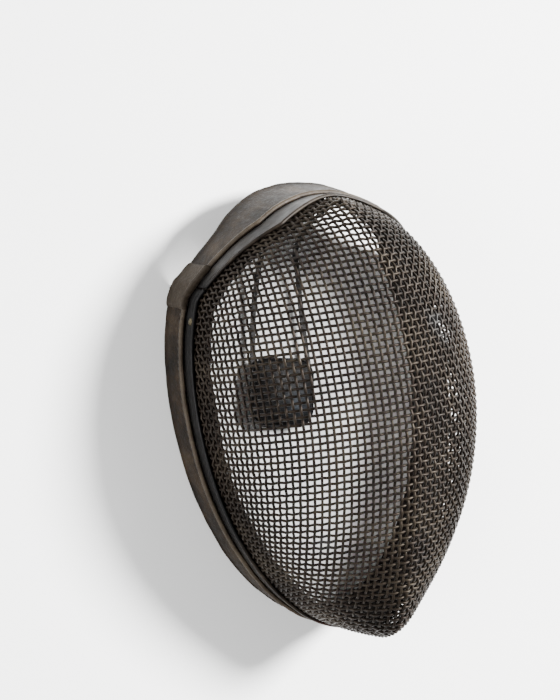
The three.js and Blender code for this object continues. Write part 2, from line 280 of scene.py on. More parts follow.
def tarnished_steel_wire():
    """Drawn steel wire: gunmetal with a warm tarnish, rust freckles and a few pale, bluish patches."""
    material, tree, shader = new_material("tarnished_steel_wire")
    shader.inputs["Metallic"].default_value = 0.6
    shader.inputs["Specular IOR Level"].default_value = 0.2
    place = node(tree, "ShaderNodeTexCoord").outputs["Object"]
    # Clouds of tarnish a few centimetres wide.
    cloud = node(tree, "ShaderNodeTexNoise", {"Scale": 1 / (30 * MM), "Detail": 3}, {"Vector": place})
    tone = node(tree, "ShaderNodeValToRGB", links={"Fac": cloud.outputs[0]},
                stops=[(0.34, "#15100b"), (0.5, "#1e1812"), (0.68, "#2a241c")])
    # Freckles about 3 mm wide, where the tarnish has turned to rust.
    freckle = node(tree, "ShaderNodeTexNoise", {"Scale": 1 / (3 * MM), "Detail": 5, "Roughness": 0.65},
                   {"Vector": place})
    rusty = node(tree, "ShaderNodeValToRGB", links={"Fac": freckle.outputs[0]},
                 stops=[(0.5, "#000000"), (0.7, "#ffffff")])
    rust = node(tree, "ShaderNodeMix", {7: srgb("#160d08")}, {0: rusty.outputs[0], 6: tone.outputs[0]},
                data_type="RGBA")
    # A few patches with a pale, bluish bloom of oxide.
    patch = node(tree, "ShaderNodeTexNoise", {"Scale": 1 / (34 * MM), "Detail": 2, "W": 3.7},
                 {"Vector": place}, noise_dimensions="4D")
    pale = node(tree, "ShaderNodeValToRGB", links={"Fac": patch.outputs[0]},
                stops=[(0.64, "#000000"), (0.76, "#b0b0b0")])
    colour = node(tree, "ShaderNodeMix", {7: srgb("#3c3e3f")}, {0: pale.outputs[0], 6: rust.outputs[2]},
                  data_type="RGBA")
    rough = node(tree, "ShaderNodeMapRange",
                 {"From Min": 0.3, "From Max": 0.7, "To Min": 0.36, "To Max": 0.62},
                 {"Value": freckle.outputs[0]})
    grain = node(tree, "ShaderNodeTexNoise", {"Scale": 1 / (0.5 * MM), "Detail": 3}, {"Vector": place})
    bump = node(tree, "ShaderNodeBump", {"Distance": 0.06 * MM}, {"Height": grain.outputs[0]})
    joined(tree, shader, Base_Color=colour.outputs[2], Roughness=rough.outputs[0], Normal=bump.outputs[0])
    return material


def leather(name, tones, scuff, rough, pore_mm, crease_mm, crease_depth, stretch=(1, 1, 1), wear_and_sheen=None):
    """Tanned cowhide: clouds of dye, rubbed flecks, fine pores and softer creases.

    tones are the dye's colours, scuff that of the rubbed flecks, rough the span of roughness.
    stretch lengthens the creases along an axis, and the wear colour paints the mesh's marked places, which
    are wear and painted sheen.
    """
    material, tree, shader = new_material(name)
    shader.inputs["Specular IOR Level"].default_value = 0.12
    place = node(tree, "ShaderNodeTexCoord").outputs["Object"]
    cloud = node(tree, "ShaderNodeTexNoise", {"Scale": 1 / (20 * MM), "Detail": 5, "Roughness": 0.6},
                 {"Vector": place})
    tone = node(tree, "ShaderNodeValToRGB", links={"Fac": cloud.outputs[0]}, stops=tones)
    fleck = node(tree, "ShaderNodeTexNoise", {"Scale": 1 / (2.6 * MM), "Detail": 4, "Roughness": 0.6},
                 {"Vector": place})
    rubbed = node(tree, "ShaderNodeValToRGB", links={"Fac": fleck.outputs[0]},
                  stops=[(0.5, "#000000"), (0.74, "#9a9a9a")])
    colour = node(tree, "ShaderNodeMix", {7: srgb(scuff)}, {0: rubbed.outputs[0], 6: tone.outputs[0]},
                  data_type="RGBA").outputs[2]
    if wear_and_sheen:
        # Marked places take the wear colour: worn leather together with a painted sheen.
        worn_and_lit = node(tree, "ShaderNodeAttribute", attribute_name="wear_and_sheen").outputs["Fac"]
        colour = node(tree, "ShaderNodeMix", {7: srgb(wear_and_sheen)}, {0: worn_and_lit, 6: colour},
                      data_type="RGBA").outputs[2]
    dull = node(tree, "ShaderNodeMapRange",
                {"From Min": 0.3, "From Max": 0.7, "To Min": rough[0], "To Max": rough[1]},
                {"Value": fleck.outputs[0]})
    turned = node(tree, "ShaderNodeMapping", {"Scale": stretch}, {"Vector": place})
    crease = node(tree, "ShaderNodeTexNoise",
                  {"Scale": 1 / (crease_mm * MM), "Detail": 4, "Roughness": 0.6},
                  {"Vector": turned.outputs[0]})
    pores = node(tree, "ShaderNodeTexVoronoi", {"Scale": 1 / (pore_mm * MM)}, {"Vector": place})
    soft = node(tree, "ShaderNodeBump", {"Distance": crease_depth * MM}, {"Height": crease.outputs[0]})
    fine = node(tree, "ShaderNodeBump", {"Distance": 0.12 * MM},
                {"Height": pores.outputs["Distance"], "Normal": soft.outputs[0]})
    joined(tree, shader, Base_Color=colour, Roughness=dull.outputs[0], Normal=fine.outputs[0])
    return material


def black_enamel_with_wear_and_sheen():
    """Satin black enamel on a thin steel strip: black at the sides, where it also stands in for shade, and
    paler blue-grey where the wear value is high, as wear and a painted reflection of the floor, with rust
    at the chin.
    """
    material, tree, shader = new_material("black_enamel_with_wear_and_sheen")
    shader.inputs["Metallic"].default_value = 0.2
    shader.inputs["Specular IOR Level"].default_value = 0.15
    place = node(tree, "ShaderNodeTexCoord").outputs["Object"]
    wear_and_sheen = node(tree, "ShaderNodeAttribute", attribute_name="wear_and_sheen").outputs["Fac"]
    cloud = node(tree, "ShaderNodeTexNoise", {"Scale": 1 / (9 * MM), "Detail": 4}, {"Vector": place})
    grey = node(tree, "ShaderNodeValToRGB", links={"Fac": cloud.outputs[0]},
                stops=[(0.3, "#100c08"), (0.55, "#1f1913"), (0.72, "#302a22")])
    # Black enamel mixed towards grey by the wear value: painted shade at the sides, painted reflection
    # with wear at the chin and crown.
    enamel = node(tree, "ShaderNodeMix", {6: srgb("#030202")}, {0: wear_and_sheen, 7: grey.outputs[0]},
                  data_type="RGBA")
    # Rust shows only near the chin, where the strip is knocked most.
    height = node(tree, "ShaderNodeSeparateXYZ", links={0: place}).outputs["Y"]
    chin = node(tree, "ShaderNodeMapRange", {"From Min": -138 * MM, "From Max": -147 * MM},
                {"Value": height})
    spot = node(tree, "ShaderNodeTexNoise", {"Scale": 1 / (7 * MM), "Detail": 4, "Roughness": 0.7},
                {"Vector": place})
    speck = node(tree, "ShaderNodeValToRGB", links={"Fac": spot.outputs[0]},
                 stops=[(0.46, "#000000"), (0.56, "#ffffff")])
    rusty = node(tree, "ShaderNodeMath", links={0: chin.outputs[0], 1: speck.outputs[0]},
                 operation="MULTIPLY")
    colour = node(tree, "ShaderNodeMix", {7: srgb("#3d1a0b")},
                  {0: rusty.outputs[0], 6: enamel.outputs[2]}, data_type="RGBA")
    rough = node(tree, "ShaderNodeMapRange",
                 {"From Min": 0.3, "From Max": 0.7, "To Min": 0.36, "To Max": 0.55},
                 {"Value": cloud.outputs[0]})
    flaws = node(tree, "ShaderNodeTexNoise", {"Scale": 1 / (1.6 * MM), "Detail": 4}, {"Vector": place})
    bump = node(tree, "ShaderNodeBump", {"Distance": 0.1 * MM}, {"Height": flaws.outputs[0]})
    joined(tree, shader, Base_Color=colour.outputs[2], Roughness=rough.outputs[0], Normal=bump.outputs[0])
    return material


def grained(name, tones, metallic, rough, cloud_mm, grain_mm):
    """A hard or corded surface: blotches cloud_mm wide over a fine grain."""
    material, tree, shader = new_material(name)
    shader.inputs["Metallic"].default_value = metallic
    place = node(tree, "ShaderNodeTexCoord").outputs["Object"]
    cloud = node(tree, "ShaderNodeTexNoise", {"Scale": 1 / (cloud_mm * MM), "Detail": 4},
                 {"Vector": place})
    tone = node(tree, "ShaderNodeValToRGB", links={"Fac": cloud.outputs[0]}, stops=tones)
    dull = node(tree, "ShaderNodeMapRange",
                {"From Min": 0.3, "From Max": 0.7, "To Min": rough[0], "To Max": rough[1]},
                {"Value": cloud.outputs[0]})
    grain = node(tree, "ShaderNodeTexNoise", {"Scale": 1 / (grain_mm * MM), "Detail": 3},
                 {"Vector": place})
    bump = node(tree, "ShaderNodeBump", {"Distance": 0.05 * MM}, {"Height": grain.outputs[0]})
    joined(tree, shader, Base_Color=tone.outputs[0], Roughness=dull.outputs[0], Normal=bump.outputs[0])
    return material


MATERIALS = {
    "wire": tarnished_steel_wire(),
    # Waxed band leather, handled dark, with paler rubbed flecks.
    "band": leather("waxed_cowhide_band", [(0.34, "#0c0805"), (0.5, "#18110b"), (0.68, "#2b2218")],
                    "#3b3225", (0.5, 0.7), 0.9, 8, 0.6),
    # The rolled edges, paler where the dye is rubbed off and as a painted highlight along the edge.
    "bead": leather("rubbed_and_highlit_cowhide_edge", [(0.3, "#261f18"), (0.7, "#443c32")],
                    "#554c40", (0.4, 0.55), 0.7, 3, 0.3),
    # The corner patches, thicker and paler than the bands.
    "corner": leather("rubbed_cowhide_patch", [(0.3, "#211a12"), (0.6, "#2b251e"), (0.75, "#39332a")],
                      "#474038", (0.45, 0.65), 0.9, 6, 0.7),
    "strip": black_enamel_with_wear_and_sheen(),
    # Lining leather, browned by sweat and handling, with russet streaks up and down.
    "lining": leather("russet_lining_leather", [(0.3, "#060302"), (0.5, "#0f0705"), (0.66, "#1a0c08")],
                      "#23120b", (0.6, 0.85), 0.8, 5, 0.6, stretch=(1, 0.35, 1)),
    # Spring steel with a blackened, oily surface.
    "spring": grained("blackened_spring_steel", [(0.3, "#040403"), (0.7, "#0f0c0b")],
                      0.6, (0.42, 0.6), 6, 0.9),
    # Pad leather, black, with a bald bluish place that is partly wear and partly a painted sheen.
    "pad": leather("black_pad_leather", [(0.3, "#040303"), (0.55, "#080707"), (0.75, "#0f0e0e")],
                   "#151414", (0.42, 0.6), 0.8, 7, 0.7, wear_and_sheen="#343a40"),
    # Brass, dulled, with a little shine left on the domed heads.
    "rivet": grained("dull_brass_rivet", [(0.3, "#2e281d"), (0.7, "#433d2c")],
                     0.8, (0.35, 0.5), 2, 0.6),
    # Linen thread, darkened by its wax and matt beside the leather.
    "thread": grained("waxed_linen_thread", [(0.3, "#120f0b"), (0.7, "#201b16")],
                      0.0, (0.7, 0.85), 3, 0.3),
}


# ---- meshes ----
def linked(name, data):
    """A new object in the scene's collection."""
    made = bpy.data.objects.new(name, data)
    bpy.context.scene.collection.objects.link(made)
    return made


def painted(piece, key, values):
    """Keeps one number from 0 to 1 at each of a piece's points."""
    layer = piece.data.attributes.new(key, "FLOAT", "POINT")
    layer.data.foreach_set("value", np.clip(values, 0, 1).astype(np.float32))


def mesh_object(name, points, faces, materials, smooth=True, indices=None):
    mesh = bpy.data.meshes.new(name)
    mesh.from_pydata((np.asarray(points) * MM).tolist(), [], [list(map(int, f)) for f in faces])
    for material in materials:
        mesh.materials.append(MATERIALS[material])
    if indices is not None:
        mesh.polygons.foreach_set("material_index", np.asarray(indices, dtype=np.int32))
    mesh.polygons.foreach_set("use_smooth", [smooth] * len(mesh.polygons))
    mesh.update()
    return linked(name, mesh)


def signed_volume(points, faces):
    points = np.asarray(points, float)
    total = 0.0
    for face in faces:
        a = points[face[0]]
        for k in range(1, len(face) - 1):
            total += a @ np.cross(points[face[k]], points[face[k + 1]])
    return total


def swept(rows, closed_path=False):
    """Quads between rows of points, each row one closed section; the ends are capped."""
    rows = np.asarray(rows)
    count, around = rows.shape[:2]
    points = rows.reshape(-1, 3)
    faces = []
    for i in range(count if closed_path else count - 1):
        a, b = i * around, ((i + 1) % count) * around
        for k in range(around):
            n = (k + 1) % around
            faces.append([a + k, a + n, b + n, b + k])
    if not closed_path:
        faces.append(list(range(around))[::-1])
        faces.append([(count - 1) * around + k for k in range(around)])
    if signed_volume(points, faces) < 0:
        faces = [face[::-1] for face in faces]
    return points, faces


def settle(piece, slot, *nodes):
    """Rides a finished piece on the one body and hides what it replaces; slot is not used."""
    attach(piece, "root")
    if nodes:
        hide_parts(*nodes)
    return piece


# ---- the woven wire ----
# The middle of the head, from which rays run out to the face.
CORE = np.array([0.0, BASE_ROW_HEIGHT + SHIFT, 34.0])


def inside(points):
    station = station_of(points)
    within = (station > WIDEST_STATION - HEIGHT_BELOW) & (station < WIDEST_STATION + HEIGHT_ABOVE)
    reach = half_width(station) * narrowing(station, points[..., 2])
    return within & (np.abs(points[..., 0]) < reach) & (points[..., 2] < fold_depth(station))


def on_dome(points):
    """Points moved onto the face along rays from the middle of the head."""
    ray = unit(points - CORE)
    low, high = np.full(len(points), 20.0), np.full(len(points), 260.0)
    for _ in range(24):
        middle = (low + high) / 2
        held = inside(CORE + ray * middle[:, None])
        low, high = np.where(held, middle, low), np.where(held, high, middle)
    return CORE + ray * low[:, None]


def stepped(line, pitch):
    """Points one pitch apart along a finely drawn line."""
    lengths = np.concatenate([[0], np.cumsum(np.linalg.norm(np.diff(line, axis=0), axis=1))])
    wanted = np.arange(0, lengths[-1], pitch)
    return np.stack([np.interp(wanted, lengths, line[:, k]) for k in range(3)], 1)


def fold_lines():
    """The middle column from the base row up over the crown, and down under the chin."""
    def rise(stations):
        depth = fold_depth(stations)
        return np.stack([0 * stations, stations - lean(stations) * depth + SHIFT, depth], 1)

    stations = np.linspace(WIDEST_STATION - HEIGHT_BELOW, WIDEST_STATION + HEIGHT_ABOVE, 900)
    line = rise(stations)
    base = int(np.argmin(np.abs(line[:, 1] - SHIFT - BASE_ROW_HEIGHT)))
    back = np.linspace(1, 0, 80)[1:, None]
    top, low = stations[-1], stations[0]
    over = np.hstack([0 * back, top - lean(top) * back * line[-1, 2] + SHIFT, back * line[-1, 2]])
    under = np.hstack([0 * back, low - lean(low) * back * line[0, 2] + SHIFT, back * line[0, 2]])
    return np.vstack([line[base:], over]), np.vstack([line[base::-1], under])


def base_line():
    """The middle row: a level cut from the fold to the rim."""
    start = fold_lines()[0][0]
    turn = np.linspace(0, math.pi / 2, 700)
    guide = np.stack([110 * np.sin(turn), np.full(700, start[1]), start[2] * np.cos(turn)], 1)
    line = on_dome_level(guide)
    last = line[-1]
    depths = np.linspace(last[2], -20, 40)
    tail = np.stack([np.full(40, last[0]), np.full(40, start[1]), depths], 1)
    return np.vstack([start[None], line[1:], tail[1:]])


def on_dome_level(points):
    """As on_dome, but along level rays, so that the height stays."""
    core = np.array([0.0, 0.0, 20.0])
    ray = unit((points - core) * [1, 0, 1])
    low, high = np.full(len(points), 5.0), np.full(len(points), 200.0)
    for _ in range(24):
        middle = (low + high) / 2
        tried = core + ray * middle[:, None]
        tried[:, 1] = points[:, 1]
        held = inside(tried)
        low, high = np.where(held, middle, low), np.where(held, high, middle)
    found = core + ray * low[:, None]
    found[:, 1] = points[:, 1]
    return found


def woven_quarter(column, row):
    """A net of equal cells laid over one quarter of the dome from its two edges."""
    rows, columns = len(column), len(row)
    net = np.full((rows, columns, 3), np.nan)
    net[:, 0], net[0, :] = column, row
    for diagonal in range(2, rows + columns - 1):
        i = np.arange(max(1, diagonal - columns + 1), min(rows - 1, diagonal - 1) + 1)
        j = diagonal - i
        beside, below, corner = net[i, j - 1], net[i - 1, j], net[i - 1, j - 1]
        known = ~(np.isnan(beside).any(1) | np.isnan(below).any(1) | np.isnan(corner).any(1))
        i, j = i[known], j[known]
        if not len(i):
            continue
        beside, below, corner = beside[known], below[known], corner[known]
        point = on_dome(beside + below - corner)
        for _ in range(14):
            for held, pitch in ((beside, COLUMN_PITCH), (below, ROW_PITCH)):
                away = point - held
                length = np.linalg.norm(away, axis=1, keepdims=True)
                point = point + 0.8 * away / np.maximum(length, 1e-6) * (pitch - length)
            point = on_dome(point)
        far = np.linalg.norm(beside - below, axis=1)
        both = ROW_PITCH + COLUMN_PITCH
        good = (point[:, 2] > -6) & (far < 0.985 * both) & (far > 0.15 * both)
        point[~good] = np.nan
        net[i, j] = point
    return net


def whole_net():
    up, down = fold_lines()
    row = stepped(base_line(), COLUMN_PITCH)
    upper = woven_quarter(stepped(up, ROW_PITCH), row)
    lower = woven_quarter(stepped(down, ROW_PITCH), row)
    half = np.concatenate([lower[:0:-1], upper], 0)
    mirrored = half[:, :0:-1] * [-1, 1, 1]
    return np.concatenate([mirrored, half], 1)


def net_normals(net):
    """Outward directions at the net's crossings."""
    padded = np.pad(net, ((1, 1), (1, 1), (0, 0)), constant_values=np.nan)
    up = np.where(np.isnan(padded[2:, 1:-1]), net, padded[2:, 1:-1])
    down = np.where(np.isnan(padded[:-2, 1:-1]), net, padded[:-2, 1:-1])
    right = np.where(np.isnan(padded[1:-1, 2:]), net, padded[1:-1, 2:])
    left = np.where(np.isnan(padded[1:-1, :-2]), net, padded[1:-1, :-2])
    normal = np.cross(right - left, up - down)
    ray = net - CORE
    weak = np.linalg.norm(np.nan_to_num(normal), axis=-1, keepdims=True) < 1e-6
    normal = unit(np.where(weak, ray, normal))
    return np.where((normal * ray).sum(-1, keepdims=True) < 0, -normal, normal)


def wire_lines(net, normals, kept, along_rows):
    """Lines of crossings with a point half way between, as one mesh with its own attributes."""
    if not along_rows:
        net, normals, kept = net.swapaxes(0, 1), normals.swapaxes(0, 1), kept.T
    points, outs, overs, edges = [], [], [], []
    sign = 1.0 if along_rows else -1.0
    for i in range(net.shape[0]):
        previous = None
        for j in range(net.shape[1]):
            if not kept[i, j]:
                previous = None
                continue
            if previous is not None:
                middle = (net[i, j] + net[i, j - 1]) / 2
                points.append(middle)
                outs.append(unit(normals[i, j] + normals[i, j - 1]))
                overs.append(0.0)
                edges.append((previous, len(points) - 1))
                previous = len(points) - 1
            points.append(net[i, j])
            outs.append(normals[i, j])
            overs.append(sign * (1 if (i + j) % 2 else -1))
            if previous is not None:
                edges.append((previous, len(points) - 1))
            previous = len(points) - 1
    return np.array(points), np.array(outs), np.array(overs), edges


def opened_tree(name, geometry, lengths, material, result):
    """A tree that takes geometry, named lengths and a material; gives it and its inputs."""
    tree = bpy.data.node_groups.new(name, "GeometryNodeTree")
    tree.interface.new_socket(geometry, in_out="INPUT", socket_type="NodeSocketGeometry")
    for length in lengths:
        tree.interface.new_socket(length, in_out="INPUT", socket_type="NodeSocketFloat")
    tree.interface.new_socket(material, in_out="INPUT", socket_type="NodeSocketMaterial")
    tree.interface.new_socket(result, in_out="OUTPUT", socket_type="NodeSocketGeometry")
    return tree, node(tree, "NodeGroupInput").outputs


def closed_tree(tree, shape, material):
    """Smooth shading, real geometry, its material and the way out."""
    smooth = node(tree, "GeometryNodeSetShadeSmooth", links={"Geometry": shape})
    real = node(tree, "GeometryNodeRealizeInstances", links={"Geometry": smooth.outputs[0]})
    done = node(tree, "GeometryNodeSetMaterial", links={"Geometry": real.outputs[0], "Material": material})
    node(tree, "NodeGroupOutput", links={0: done.outputs[0]})
    return tree


def wire_tree():
    """Lines become round wires that pass over and under each other."""
    lengths = ("Wire radius", "Crimp height")
    tree, given = opened_tree("woven_wires", "Lines", lengths, "Wire material", "Wires")
    line = node(tree, "GeometryNodeMeshToCurve", links={"Mesh": given["Lines"]})
    over = node(tree, "GeometryNodeInputNamedAttribute", {"Name": "over"}, data_type="FLOAT")
    out = node(tree, "GeometryNodeInputNamedAttribute", {"Name": "out"}, data_type="FLOAT_VECTOR")
    height = node(tree, "ShaderNodeMath", links={0: over.outputs[0], 1: given["Crimp height"]},
                  operation="MULTIPLY")
    offset = node(tree, "ShaderNodeVectorMath", links={0: out.outputs[0], "Scale": height.outputs[0]},
                  operation="SCALE")
    crimped = node(tree, "GeometryNodeSetPosition",
                   links={"Geometry": line.outputs[0], "Offset": offset.outputs[0]})
    ring = node(tree, "GeometryNodeCurvePrimitiveCircle", {"Resolution": 6},
                {"Radius": given["Wire radius"]})
    tube = node(tree, "GeometryNodeCurveToMesh", {"Fill Caps": True},
                {"Curve": crimped.outputs[0], "Profile Curve": ring.outputs[0]})
    return closed_tree(tree, tube.outputs[0], given["Wire material"])


def grown(name, source, tree, inputs):
    """Runs a tree on a mesh and keeps the result as a plain mesh object."""
    modifier = source.modifiers.new("grown", "NODES")
    modifier.node_group = tree
    sockets = {item.name: item.identifier for item in tree.interface.items_tree
               if item.in_out == "INPUT"}
    for key, value in inputs.items():
        modifier[sockets[key]] = value
    bpy.context.view_layer.update()
    evaluated = source.evaluated_get(bpy.context.evaluated_depsgraph_get())
    mesh = bpy.data.meshes.new_from_object(evaluated)
    source.modifiers.remove(modifier)
    bpy.data.objects.remove(source)
    mesh.name = name
    return linked(name, mesh)


def line_object(name, points, edges, attributes):
    mesh = bpy.data.meshes.new(name)
    mesh.from_pydata((np.asarray(points) * MM).tolist(), list(edges), [])
    for key, values in attributes.items():
        values = np.asarray(values, dtype=np.float32)
        kind = "FLOAT_VECTOR" if values.ndim == 2 else "FLOAT"
        layer = mesh.attributes.new(key, kind, "POINT")
        layer.data.foreach_set("vector" if values.ndim == 2 else "value", values.ravel())
    return linked(name, mesh)


def wire_cloth():
    net = whole_net()
    normals = net_normals(net)
    station = station_of(np.nan_to_num(net))
    hidden = wire_edge(station) - HIDDEN_WIRE
    kept = ~np.isnan(net).any(-1) & (net[..., 2] > hidden)
    tree = wire_tree()
    for name, along in (("wires_across", True), ("wires_down", False)):
        points, outs, overs, edges = wire_lines(net, normals, kept, along)
        # Each wire's middle lies its own radius inside the outer skin.
        points = points - outs * WIRE_RADIUS
        lines = line_object(name + "_lines", points, edges, {"over": overs, "out": outs})
        wires = grown(name, lines, tree, {
            "Wire radius": WIRE_RADIUS * MM,
            "Crimp height": CRIMP_HEIGHT * MM,
            "Wire material": MATERIALS["wire"],
        })
        settle(wires, "wire", "mesh_face")


# ---- leather and steel along the rim ----
def rim_rows(angles, section, level=False):
    """Sections along the rim; section(station, angle) gives arrays of depth and lift."""
    rows = []
    for angle in angles:
        station = float(outline_at(np.array(angle))[1])
        depth, lift = section(station, angle)
        rows.append(lifted(np.full(len(depth), angle), np.asarray(depth, float), lift, level))
    return rows


def leather_section(rear, front, low, thick, flare=0.0):
    """Rolled at both edges, a little crowned between them."""
    width = front - rear
    outer = [
        (0.0, 0.45), (0.35, 0.8), (1.2, 1.1), (2.4, 1.16), (3.4, 1.02), (4.2, 0.93),
        (0.3 * width, 0.97), (0.5 * width, 1.0), (0.7 * width, 0.95),
        (width - 4.4, 0.86), (width - 3.4, 0.84), (width - 2.7, 1.0), (width - 1.9, 1.2),
        (width - 1.0, 1.22), (width - 0.3, 1.0), (width, 0.6),
    ]
    inner = [(width - 0.4, 0.15), (width - 2, 0.02), (0.5 * width, 0.0), (1.4, 0.04), (0.4, 0.18)]
    profile = np.array(outer + inner)
    depth = rear + profile[:, 0]
    lift = low + thick * profile[:, 1]
    return depth, lift + flare * (1 - profile[:, 0] / width) ** 2


# The sides of leather_section that make the rolled front edge.
BEAD_FACES = {10, 11, 12, 13, 14}


def rim_leather(name, start, end, count, crown):
    angles = np.linspace(start, end, count)

    def section(station, angle):
        rear, front = float(rear_edge(station)), float(band_front(station))
        flare = CROWN_FLARE * float(sweep(station)) ** 2 if crown else 0.0
        depth, lift = leather_section(rear, front, GAP, LEATHER, flare)
        wave = smooth_noise(angle * 3.1, depth / 40, 7, 3.0)
        ripple = smooth_noise(angle * 9.0, depth / 30, 11, 4.0)
        return depth, lift + (lift > GAP + 1) * (0.28 * wave + 0.12 * ripple)

    rows = rim_rows(angles, section, level=not crown)
    points, faces = swept(rows)
    around = len(rows[0])
    # The rolled front edge takes the paler edge leather, a painted highlight as well as rubbed dye.
    kinds = [1 if (index % around) in BEAD_FACES else 0 for index in range(len(faces))]
    piece = mesh_object(name, points, faces, ["band", "bead"], indices=kinds)
    return settle(piece, "band_leather", "crown_band" if crown else "side_band")


def strip_section(rear, front, wear_and_sheen):
    """A flat strip with a rounded bead along its front edge, and thinner where its wear and painted
    reflection are slight.
    """
    width = front - rear
    profile = np.array([
        (0.0, 0.5), (0.4, 0.9), (1.5, 1.0), (0.5 * width, 0.95), (width - 3.2, 0.8), (width - 2.6, 1.2),
        (width - 1.9, 1.75), (width - 1.1, 1.9), (width - 0.4, 1.6), (width, 0.9), (width - 0.3, 0.1),
        (width - 2.0, 0.0), (0.5 * width, 0.0), (1.0, 0.0), (0.2, 0.15),
    ])
    thinner = 0.3 * (1 - wear_and_sheen) * (profile[:, 0] < width - 3) * (profile[:, 1] > 0.5)
    return rear + profile[:, 0], GAP + 1.3 * profile[:, 1] - thinner


def edge_strip(name, start, end, count, node_name):
    angles = np.linspace(start, end, count)
    wear_and_sheen_rows = []

    def section(station, angle):
        low_chin = np.clip((CHIN_WEAR_AND_SHEEN_TOP - station) / CHIN_WEAR_AND_SHEEN_SPAN, 0, 1)
        crown = np.clip((station - CROWN_WEAR_AND_SHEEN_FOOT) / CROWN_WEAR_AND_SHEEN_SPAN, 0, 1)
        wear_and_sheen = float(max(low_chin, CROWN_WEAR_AND_SHEEN * crown))
        wear_and_sheen_rows.append(wear_and_sheen)
        rear = float(band_front(station)) + STRIP_GAP
        return strip_section(rear, float(wire_edge(station)), wear_and_sheen)

    rows = rim_rows(angles, section)
    points, faces = swept(rows)
    piece = mesh_object(name, points, faces, ["strip"])
    around = len(rows[0])
    bead = np.array([5 <= k <= 9 for k in range(around)])
    # The bead takes more of the wear value than the flat: a painted highlight on the front edge as well as
    # wear and painted reflection.
    worn_and_lit = [np.where(bead, min(1.0, BEAD_WEAR_AND_SHEEN * wear_and_sheen), FLAT_WEAR_AND_SHEEN * wear_and_sheen) for wear_and_sheen in wear_and_sheen_rows]
    values = np.array(worn_and_lit).ravel()
    index = np.arange(len(values))
    speckle = smooth_noise(index / around * 0.11, index % around * 0.2, 3, 5)
    painted(piece, "wear_and_sheen", values + 0.25 * speckle * (values > 0.05))
    return settle(piece, "edge_strip", node_name)


def temple_corner(side):
    """A patch folded over the joint of the two bands, lapping over the end of each."""
    name = "left" if side > 0 else "right"
    high, low = angle_at(CORNER_HIGH) - PATCH_LAP, angle_at(CORNER_LOW) + PATCH_LAP
    angles = np.linspace(high, low, 40) * side

    def section(station, angle):
        rear, front = float(rear_edge(station)), float(band_front(station))
        depth, lift = leather_section(rear, front + 0.3, GAP, PATCH_THICK)
        share = (abs(angle) - high) / (low - high)
        edge = min(share, 1 - share) * (low - high) * HALF_WIDTH
        round_off = 1 - 0.2 * np.exp(-edge / 0.6)
        fold = 0.8 * np.exp(-((share - 0.45) / 0.1) ** 2)
        bump = 0.5 * smooth_noise(angle * 16, depth / 12, 21, 1.0) + fold
        return depth, GAP + (lift - GAP) * round_off + (lift > GAP + 1) * bump

    points, faces = swept(rim_rows(angles, section))
    piece = mesh_object("corner_patch_" + name, points, faces, ["corner"])
    return settle(piece, "corner_leather", "temple_corner_" + name)


def lining():
    """A soft band inside the wire, turned over along its front edge."""
    angles = np.linspace(0, TURN, 241)[:-1]

    def section(station, angle):
        rear = float(rear_edge(station)) + LINING_START
        low = float(np.clip(1.4 - station / CHIN_STATION, 0, 1))
        reach = LINING_BEYOND_EDGE * (1 - 0.6 * float(sweep(station))) + LINING_MORE_AT_CHIN * low
        front = float(wire_edge(station)) + reach
        half = [0, 0.02, 0.25, 0.5, 0.75, 0.93, 0.985, 1]
        v = np.array(half + half[::-1])
        inner = np.array([0.4, 0, 0, 0, 0, 0, 0, 0.3, 0.9, 1.4, 1.3, 1, 1, 1, 1, 0.6])
        depth = rear + (front - rear) * v
        depth = depth + 1.2 * smooth_noise(angle * 5.0, 0.3, 5, 3.0) * v
        sag = 0.7 * smooth_noise(angle * 7.0, v * 0.8, 9, 2.0) * (inner > 0.5) * np.sin(np.pi * v)
        return depth, -(WIRE_WALL + GAP + LINING_WALL * inner) - np.abs(sag)

    points, faces = swept(rim_rows(angles, section), closed_path=True)
    piece = mesh_object("lining_band", points, faces, ["lining"])
    return settle(piece, "lining_leather", "inner_lining")


# Angles along the rim: the corner patches' ends, the temple between them, and a seam's width.
JOINT = SEAM / HALF_WIDTH
CORNER_TOP, CORNER_FOOT = angle_at(CORNER_HIGH), angle_at(CORNER_LOW)
TEMPLE = (CORNER_TOP + CORNER_FOOT) / 2

wire_cloth()
rim_leather("chin_band", CORNER_FOOT + JOINT, TURN - CORNER_FOOT - JOINT, 260, False)
rim_leather("crown_arch_band", -CORNER_TOP + JOINT, CORNER_TOP - JOINT, 150, True)
edge_strip("chin_edge_strip", TEMPLE + JOINT / 2, TURN - TEMPLE - JOINT / 2, 280, "edge_strip_sides")
edge_strip("crown_edge_strip", -TEMPLE + JOINT / 2, TEMPLE - JOINT / 2, 170, "edge_strip_crown")
for side in (1, -1):
    temple_corner(side)
lining()


# ---- the head spring and its pad ----
def spring_strip(side):
    """A flat steel strip with eased corners, running into the lining and into the pad."""
    route = np.array([SPRING_ROUTE[side], SPRING_ROUTE["height"], SPRING_ROUTE["depth"]]).T
    route[:, 1] += SHIFT
    knots = {"station": np.arange(len(route))}
    steps = np.linspace(0, len(route) - 1, 90)
    path = np.stack([spline_column({**knots, "v": route[:, k]}, "v")(steps) for k in range(3)], 1)
    along = unit(np.gradient(path, axis=0))
    across = unit(np.array([1.0, 0, 0]) - along * along[:, :1])
    through = np.cross(across, along)
    half, thin, eased = SPRING_WIDTH / 2, SPRING_THICKNESS / 2, 0.25
    section = [
        (half, -thin + eased), (half, thin - eased), (half - eased, thin), (-half + eased, thin),
        (-half, thin - eased), (-half, -thin + eased), (-half + eased, -thin), (half - eased, -thin),
    ]
    rows = [path + across * a + through * b for a, b in section]
    points, faces = swept(np.stack(rows, 1))
    piece = mesh_object("spring_strip_" + side + "_steel", points, faces, ["spring"], smooth=False)
    settle(piece, "spring_steel", "spring_strip_" + side)


